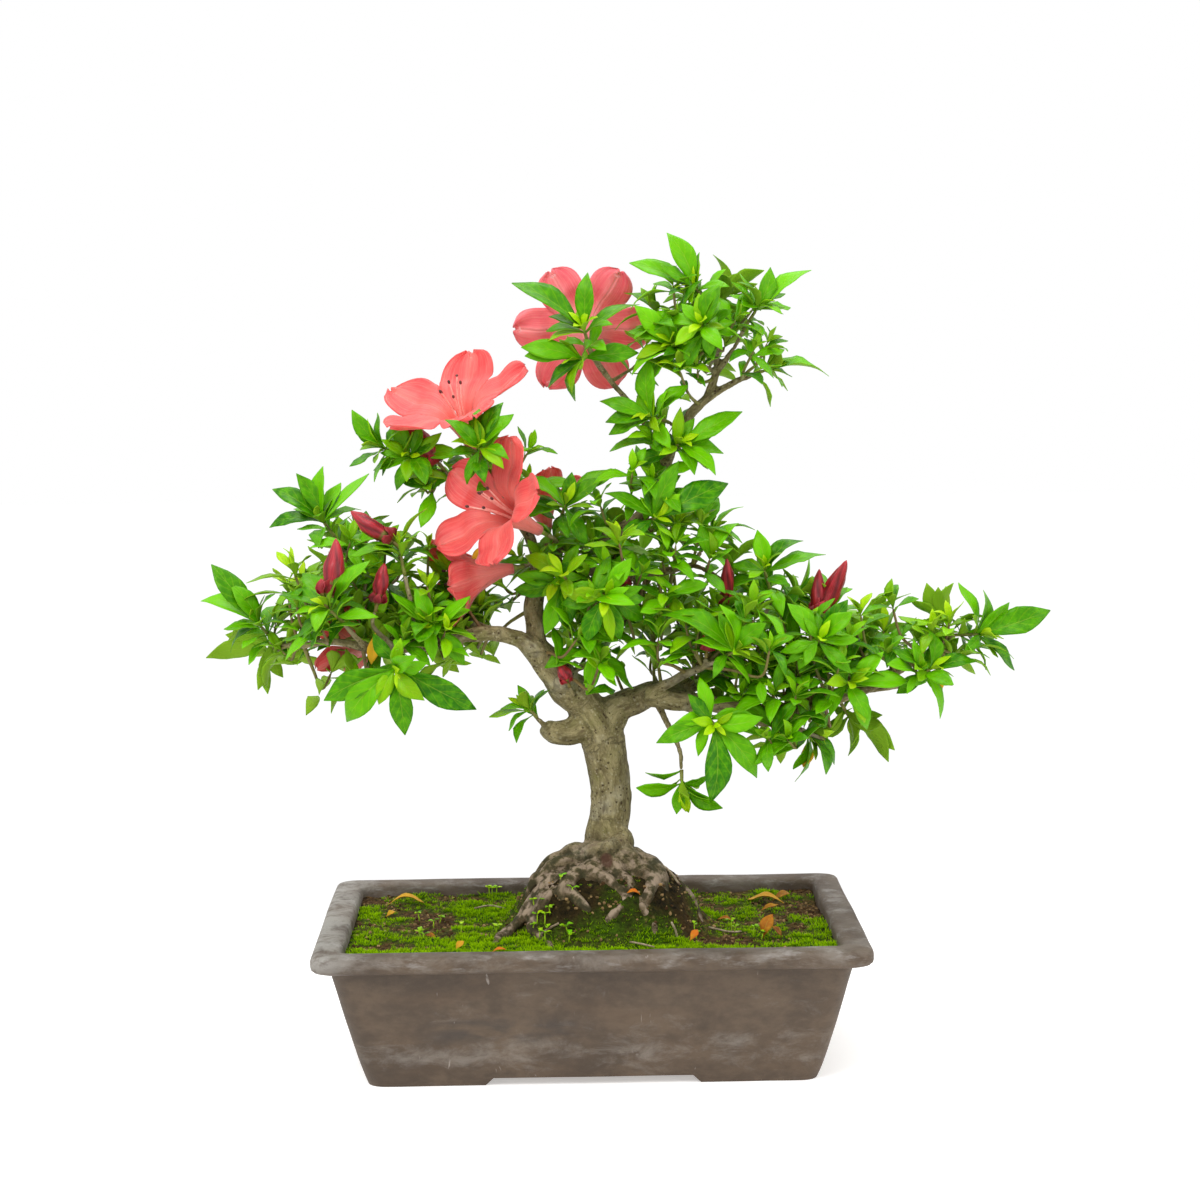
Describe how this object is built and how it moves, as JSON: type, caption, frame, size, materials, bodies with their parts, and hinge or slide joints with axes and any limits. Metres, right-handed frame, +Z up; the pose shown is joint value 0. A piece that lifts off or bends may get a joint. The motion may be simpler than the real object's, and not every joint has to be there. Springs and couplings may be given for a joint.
{
  "type": "satsuki azalea bonsai",
  "caption": "Satsuki azalea bonsai in coral-red flower: a bent trunk on surface roots, leafy limbs and buds, growing in a rectangular unglazed footed pot.",
  "frame": {"origin": "on the surface that the pot's feet stand on, below the middle of the whole outline, 20 mm to the right of the middle of the pot", "axes": "+X to the viewer's right along the pot's length, -Y towards the viewer, +Z up"},
  "size_m": [0.4296, 0.181, 0.4162],
  "materials": {
    "pot": "unglazed stoneware, matte, with pale mineral bloom",
    "soil": "granular clay soil under bright green moss",
    "drain_screen": "moulded mesh",
    "bark": "grey-brown bark with moss tints",
    "leaf": "glossy living leaf",
    "petal": "soft living petal",
    "bud": "smooth closed petals",
    "fallen_leaf": "dry leaf"
  },
  "bodies": {
    "root": {"bloom_behind": "petal", "bloom_centre": "petal", "bloom_left": "petal", "bloom_low": "petal", "bloom_peak": "petal", "bloom_top": "petal", "bud_centre": "bud", "bud_heart": "bud", "bud_inner": "bud", "bud_left_far": "bud", "bud_left_high": "bud", "bud_left_low": "bud", "bud_middle": "bud", "bud_peak": "bud", "buds_right": "bud", "drain_screen_left": "drain_screen", "drain_screen_right": "drain_screen", "fallen_leaf_left": "fallen_leaf", "fallen_leaf_right": "fallen_leaf", "pot": "pot", "shoot_bloom_top": "leaf", "shoot_centre_front": "leaf", "shoot_centre_low": "leaf", "shoot_centre_peak": "leaf", "shoot_centre_rear": "leaf", "shoot_centre_right": "leaf", "shoot_crown_far": "leaf", "shoot_crown_front": "leaf", "shoot_crown_left": "leaf", "shoot_crown_right": "leaf", "shoot_crown_top": "leaf", "shoot_far_low": "leaf", "shoot_far_tip": "leaf", "shoot_hanging": "leaf", "shoot_hanging_low": "leaf", "shoot_heart": "leaf", "shoot_inner_front": "leaf", "shoot_left_back": "leaf", "shoot_left_bottom": "leaf", "shoot_left_far": "leaf", "shoot_left_front": "leaf", "shoot_left_inner": "leaf", "shoot_left_middle": "leaf", "shoot_left_rear": "leaf", "shoot_left_top": "leaf", "shoot_low_far": "leaf", "shoot_low_right": "leaf", "shoot_neck_left": "leaf", "shoot_neck_right": "leaf", "shoot_peak": "leaf", "shoot_peak_left": "leaf", "shoot_right_back": "leaf", "shoot_right_front": "leaf", "shoot_right_high": "leaf", "shoot_right_middle": "leaf", "shoot_right_peak": "leaf", "shoot_right_rear": "leaf", "shoot_stub": "leaf", "soil": "soil", "wood": "bark"}
  },
  "joints": []
}
